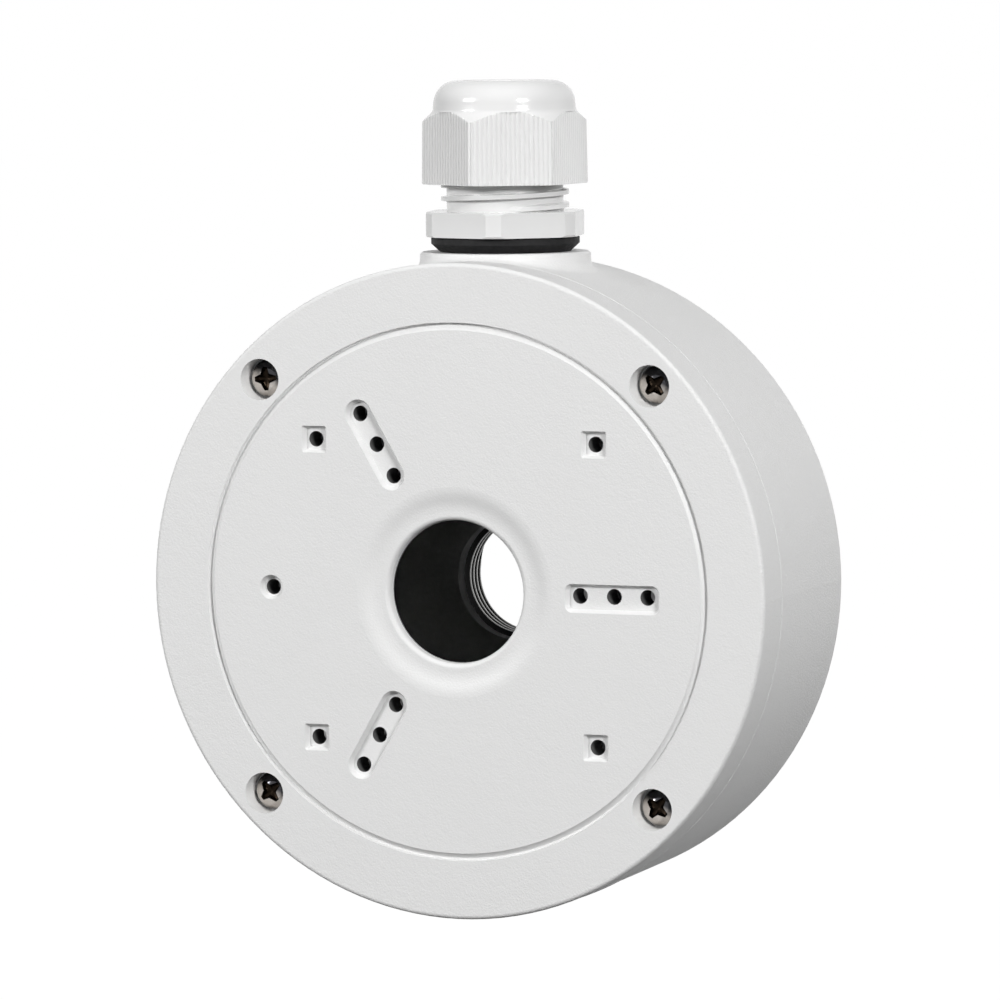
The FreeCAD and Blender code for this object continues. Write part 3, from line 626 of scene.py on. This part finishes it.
STEEL_COLOUR = (0.46, 0.44, 0.42)
STEEL_ROUGHNESS = 0.16
STEEL_GLOSS_SCALE = 900.0
STEEL_POLISH = 0.08
STEEL_DULLING = 0.1
# The domes' light and dark tones are painted reflection and shade, set by the way each slope faces.
HEAD_PAINTED_LIT = (0.60, 0.56, 0.52)
HEAD_PAINTED_SHADE = (0.055, 0.055, 0.06)
HEAD_LIGHT_BELOW = 0.85
HEAD_LIGHT_LEFT = 0.5
HEAD_SHADE_FULL = -0.22
HEAD_LIT_FULL = 0.10
# The recess's near-black tone is painted shade.
RECESS_PAINTED_SHADE = (0.014, 0.010, 0.007)
RECESS_ROUGHNESS = 0.3
# The rim's dark tone is painted shade.
RIM_PAINTED_SHADE = (0.10, 0.10, 0.115)
RIM_ROUGHNESS = 0.2
SCREW_TIP = -0.0302
SCREWS = (("upper_left", -1, 1, 4), ("upper_right", 1, 1, 43), ("lower_left", -1, -1, 40),
          ("lower_right", 1, -1, 52))
HEAD_R = 0.0040
HEAD_HEIGHT = 0.0026
HEAD_BULGE = 2.3
HEAD_POINTS = 128
HEAD_STEPS = 12
RIM_HEIGHT = 0.0007
RIM_STEPS = 5
RECESS_REACH = 0.0025
RECESS_TIP = 0.00045
RECESS_FLARE = 0.00095
RECESS_DEPTH = 0.0016
RECESS_WALL = ((0.94, 0.16), (0.80, 0.66), (0.62, 0.80), (0.25, 0.94), (0.04, 1.0))
PAINTED_REFLECTION_INDEX = 0
RIM_PAINTED_SHADE_INDEX = 1
RECESS_PAINTED_SHADE_INDEX = 2
SHANK_ROOT_R = 0.0016
SHANK_R = 0.00198
SHANK_PITCH = 0.0007
SHANK_ROOT_SHARE = 0.85
SHANK_CREST_SHARE = 0.12
SHANK_TIP_SHARE = 0.7


def machined(name, colour, roughness):
    """Steel with the fine marks of its cutting or polishing."""
    material, tree, shader = new_material(name, colour, roughness, 1.0)
    tree.links.new(mottled(tree, colour), shader.inputs["Base Color"])
    gloss = drifting(tree, roughness - STEEL_POLISH, roughness + STEEL_DULLING, STEEL_GLOSS_SCALE, 3.0)
    tree.links.new(gloss, shader.inputs["Roughness"])
    tree.links.new(tool_marks(tree), shader.inputs["Normal"])
    return material


def head_painted_reflection():
    """Steel of the domed heads, with painted reflection: bright below and dark on the slopes that face up
    and right.
    """
    material, tree, shader = new_material("head_painted_reflection", HEAD_PAINTED_LIT, STEEL_ROUGHNESS, 1.0)
    place = tree.nodes.new("ShaderNodeTexCoord")
    parts = tree.nodes.new("ShaderNodeSeparateXYZ")
    tree.links.new(place.outputs["Normal"], parts.inputs[0])
    # Painted reflection: slopes facing down and left take the light tone, those facing up and right the dark
    # one.
    down = combine(tree, "MULTIPLY", parts.outputs["Z"], -HEAD_LIGHT_BELOW)
    left = combine(tree, "MULTIPLY", parts.outputs["X"], -HEAD_LIGHT_LEFT)
    painted_lit_share = ramp(tree, combine(tree, "ADD", down, left), 0, 1, HEAD_SHADE_FULL, HEAD_LIT_FULL)
    light = mottled(tree, HEAD_PAINTED_LIT)
    tree.links.new(blended(tree, painted_lit_share, (*HEAD_PAINTED_SHADE, 1), light), shader.inputs["Base Color"])
    tree.links.new(tool_marks(tree), shader.inputs["Normal"])
    return material


def head_height(radius):
    """Height of the domed head over its seat."""
    return HEAD_HEIGHT * math.sqrt(max(0.0, 1 - (radius / HEAD_R) ** HEAD_BULGE))


def head_radius(height):
    """Radius of the domed head at a height over its seat."""
    return HEAD_R * (1 - (height / HEAD_HEIGHT) ** 2) ** (1 / HEAD_BULGE)


def recess_reach(angle):
    """Distance from the screw's axis to the edge of its cross recess."""
    off_arm = abs((angle + math.pi / 4) % (math.pi / 2) - math.pi / 4)
    side = RECESS_TIP + RECESS_FLARE
    along_side = side / (math.sin(off_arm) + RECESS_FLARE / RECESS_REACH * math.cos(off_arm))
    return min(RECESS_REACH / math.cos(off_arm), along_side)


def skin(mesh, rings, material_index):
    """Faces between open rings, which take one of the piece's materials."""
    before = len(mesh.faces)
    ring_surface(mesh, rings, False)
    mesh.faces.ensure_lookup_table()
    for face in mesh.faces[before:]:
        face.material_index = material_index


def cover_screw(name, right, up, turn):
    """One screw of the cover, with its steel, and its rim and recess darkened as painted shade."""
    mesh = bmesh.new()
    angles = [2 * math.pi * step / HEAD_POINTS for step in range(HEAD_POINTS)]
    reaches = [recess_reach(angle) for angle in angles]

    def place(radius, angle, depth):
        spun = math.radians(turn) - angle
        return Vector((right * SCREW_SPREAD + radius * math.cos(spun), depth,
                       up * SCREW_SPREAD + radius * math.sin(spun)))

    def ring(radii, heights):
        return [mesh.verts.new(place(radius, angle, SCREW_SEAT - height))
                for radius, angle, height in zip(radii, angles, heights)]

    def round_ring(radius, height):
        return ring([radius] * HEAD_POINTS, [height] * HEAD_POINTS)

    shank = [round_ring(SHANK_ROOT_R * SHANK_TIP_SHARE, SCREW_SEAT - SCREW_TIP),
             round_ring(SHANK_ROOT_R, SCREW_SEAT - SCREW_TIP + SHANK_PITCH),
             round_ring(SHANK_ROOT_R, 0.0), round_ring(HEAD_R, 0.0)]
    rim = [shank[-1]]
    for step in range(1, RIM_STEPS + 1):
        height = RIM_HEIGHT * step / RIM_STEPS
        rim.append(round_ring(head_radius(height), height))
    dome = [rim[-1]]
    for step in range(1, HEAD_STEPS + 1):
        inward = 1 - math.cos(math.pi / 2 * step / HEAD_STEPS)
        radii = [head_radius(RIM_HEIGHT) * (1 - inward) + reach * inward for reach in reaches]
        dome.append(ring(radii, [head_height(radius) for radius in radii]))
    recess = [dome[-1]]
    floor = HEAD_HEIGHT - RECESS_DEPTH
    for reach_share, depth_share in RECESS_WALL:
        radii = [reach * reach_share for reach in reaches]
        heights = [head_height(reach) + (floor - head_height(reach)) * depth_share for reach in reaches]
        recess.append(ring(radii, heights))
    skin(mesh, shank, PAINTED_REFLECTION_INDEX)
    skin(mesh, rim, RIM_PAINTED_SHADE_INDEX)
    skin(mesh, dome, PAINTED_REFLECTION_INDEX)
    skin(mesh, recess, RECESS_PAINTED_SHADE_INDEX)
    mesh.faces.new(shank[0])
    mesh.faces.new(recess[-1]).material_index = RECESS_PAINTED_SHADE_INDEX
    helix_ridge(mesh, place, SHANK_ROOT_R, SHANK_R, SHANK_PITCH * SHANK_ROOT_SHARE,
                SHANK_PITCH * SHANK_CREST_SHARE, SHANK_PITCH, SCREW_SEAT + SHANK_PITCH,
                SCREW_TIP - SHANK_PITCH)
    piece = finished("cover_screw_" + name + "_fine", mesh, painted_reflection_steel, "box",
                     smooth_angle=32.0)
    piece.data.materials.append(rim_painted_shade_steel)
    piece.data.materials.append(recess_painted_shade_steel)
    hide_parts("cover_screw_" + name)


steel = machined("polished_steel", STEEL_COLOUR, STEEL_ROUGHNESS)
painted_reflection_steel = head_painted_reflection()
rim_painted_shade_steel = machined("rim_painted_shade_steel", RIM_PAINTED_SHADE, RIM_ROUGHNESS)
recess_painted_shade_steel = machined("recess_painted_shade_steel", RECESS_PAINTED_SHADE, RECESS_ROUGHNESS)
for screw in SCREWS:
    cover_screw(*screw)
for earth_node in ("earth_screw", "earth_spring_washer", "earth_flat_washer"):
    dress(earth_node, steel)


# Stage: a plain pale floor below the box, which hangs on a wall that isn't shown.
# The floor and the air look white to the camera, to gloss and through glass, and the floor keeps
# the box's shadow. Little light comes back up from it, so the drum's underside stays in shade.

FLOOR_DROP = 0.23
FLOOR_HALF = 12.0
FLOOR_TONE = 0.03
FLOOR_GLOW_NEAR = 0.86
GLOW_START = 0.7
GLOW_END = 1.1


def seen_directly(tree):
    """Socket that is 1 for camera, glossy and transmission rays."""
    path = tree.nodes.new("ShaderNodeLightPath")
    either = combine(tree, "MAXIMUM", path.outputs["Is Camera Ray"], path.outputs["Is Glossy Ray"])
    return combine(tree, "MAXIMUM", either, path.outputs["Is Transmission Ray"])


def floor_paper():
    material = bpy.data.materials.new("pale_floor")
    material.use_nodes = True
    tree = material.node_tree
    tree.nodes.clear()
    out = tree.nodes.new("ShaderNodeOutputMaterial")
    mix = tree.nodes.new("ShaderNodeMixShader")
    both = tree.nodes.new("ShaderNodeAddShader")
    matt = tree.nodes.new("ShaderNodeBsdfDiffuse")
    matt.inputs["Color"].default_value = (FLOOR_TONE, FLOOR_TONE, FLOOR_TONE, 1)
    glow = tree.nodes.new("ShaderNodeEmission")
    place = tree.nodes.new("ShaderNodeNewGeometry")
    away = tree.nodes.new("ShaderNodeVectorMath")
    away.operation = "LENGTH"
    tree.links.new(place.outputs["Position"], away.inputs[0])
    tree.links.new(ramp(tree, away.outputs["Value"], FLOOR_GLOW_NEAR, 1.0, GLOW_START, GLOW_END),
                   glow.inputs["Strength"])
    tree.links.new(matt.outputs[0], both.inputs[0])
    tree.links.new(glow.outputs[0], both.inputs[1])
    tree.links.new(seen_directly(tree), mix.inputs[0])
    tree.links.new(matt.outputs[0], mix.inputs[1])
    tree.links.new(both.outputs[0], mix.inputs[2])
    tree.links.new(mix.outputs[0], out.inputs[0])
    return material


def lay_floor():
    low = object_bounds()[0].z - FLOOR_DROP
    corners = [(-FLOOR_HALF, -FLOOR_HALF, low), (FLOOR_HALF, -FLOOR_HALF, low),
               (FLOOR_HALF, FLOOR_HALF, low), (-FLOOR_HALF, FLOOR_HALF, low)]
    data = bpy.data.meshes.new("floor")
    data.from_pydata(corners, [], [(0, 1, 2, 3)])
    data.materials.append(floor_paper())
    floor = bpy.data.objects.new("floor", data)
    bpy.context.scene.collection.objects.link(floor)


lay_floor()


# Camera: a long lens in front of the box, a little to its right and a little above.
# Its angle, distance and framing are those from which the box's outline fits the photograph.

CAMERA_AZIMUTH = 22.052
CAMERA_ELEVATION = 4.706
CAMERA_ROLL = -0.494
CAMERA_DISTANCE = 1.33266
CAMERA_ASIDE = 0.009586
CAMERA_LIFT = 0.019243
CAMERA_LENS = 230.99
CAMERA_SENSOR = 36
CAMERA_REACH = 60
DRUM_FRONT = -0.0515


def place_camera():
    azimuth = math.radians(CAMERA_AZIMUTH)
    elevation = math.radians(CAMERA_ELEVATION)
    roll = math.radians(CAMERA_ROLL)
    back = Vector((math.sin(azimuth) * math.cos(elevation), -math.cos(azimuth) * math.cos(elevation),
                   math.sin(elevation)))
    level = Vector((math.cos(azimuth), math.sin(azimuth), 0))
    upward = back.cross(level)
    right = math.cos(roll) * level + math.sin(roll) * upward
    up = math.cos(roll) * upward - math.sin(roll) * level
    spot = back * CAMERA_DISTANCE + right * CAMERA_ASIDE + up * CAMERA_LIFT + Vector((0, DRUM_FRONT, 0))
    lens = bpy.data.cameras.new("camera")
    lens.lens = CAMERA_LENS
    lens.sensor_width = CAMERA_SENSOR
    lens.clip_end = CAMERA_REACH
    camera = bpy.data.objects.new("camera", lens)
    camera.matrix_world = Matrix((
        (right.x, up.x, back.x, spot.x),
        (right.y, up.y, back.y, spot.y),
        (right.z, up.z, back.z, spot.z),
        (0, 0, 0, 1),
    ))
    bpy.context.scene.collection.objects.link(camera)
    bpy.context.scene.camera = camera


place_camera()


# Light: two low soft boxes in front, left and right, which show in the gloss, and a wide one
# overhead on the right, which only spreads light. One behind fills the wall's side, which the
# camera doesn't see. The sky gives none.

LAMP_DISTANCE = 2.0
SKY = 0.0


def soft_box(name, azimuth, elevation, width, height, power, mirrored=True):
    """Area lamp that looks at the drum from an azimuth (0 is the front) and an elevation.

    The camera doesn't see it, and gloss shows it where it is mirrored.
    """
    around = math.radians(azimuth)
    above = math.radians(elevation)
    away = Vector((math.sin(around) * math.cos(above), -math.cos(around) * math.cos(above), math.sin(above)))
    data = bpy.data.lights.new(name, "AREA")
    data.shape = "RECTANGLE"
    data.size = width
    data.size_y = height
    data.energy = power
    lamp = bpy.data.objects.new(name, data)
    lamp.location = away * LAMP_DISTANCE + Vector((0, DRUM_FRONT, 0))
    lamp.rotation_euler = away.to_track_quat("Z", "Y").to_euler()
    lamp.visible_glossy = mirrored
    lamp.visible_camera = False
    bpy.context.scene.collection.objects.link(lamp)


def light_world():
    world = bpy.context.scene.world or bpy.data.worlds.new("world")
    bpy.context.scene.world = world
    world.use_nodes = True
    tree = world.node_tree
    tree.nodes.clear()
    out = tree.nodes.new("ShaderNodeOutputWorld")
    sky = tree.nodes.new("ShaderNodeBackground")
    sky.name = "sky"
    sky.inputs["Color"].default_value = (1, 1, 1, 1)
    sky.inputs["Strength"].default_value = SKY
    white = tree.nodes.new("ShaderNodeBackground")
    white.inputs["Color"].default_value = (1, 1, 1, 1)
    mix = tree.nodes.new("ShaderNodeMixShader")
    tree.links.new(seen_directly(tree), mix.inputs[0])
    tree.links.new(sky.outputs[0], mix.inputs[1])
    tree.links.new(white.outputs[0], mix.inputs[2])
    tree.links.new(mix.outputs[0], out.inputs[0])


soft_box("left_box", azimuth=-40, elevation=22, width=0.6, height=0.4, power=24.6)
soft_box("right_box", azimuth=53, elevation=22, width=0.5, height=0.4, power=28.5)
soft_box("top_box", azimuth=60, elevation=60, width=0.9, height=0.9, power=9.5, mirrored=False)
soft_box("back_box", azimuth=180, elevation=0, width=0.8, height=0.8, power=15, mirrored=False)
light_world()
bpy.context.scene.view_settings.view_transform = "Standard"
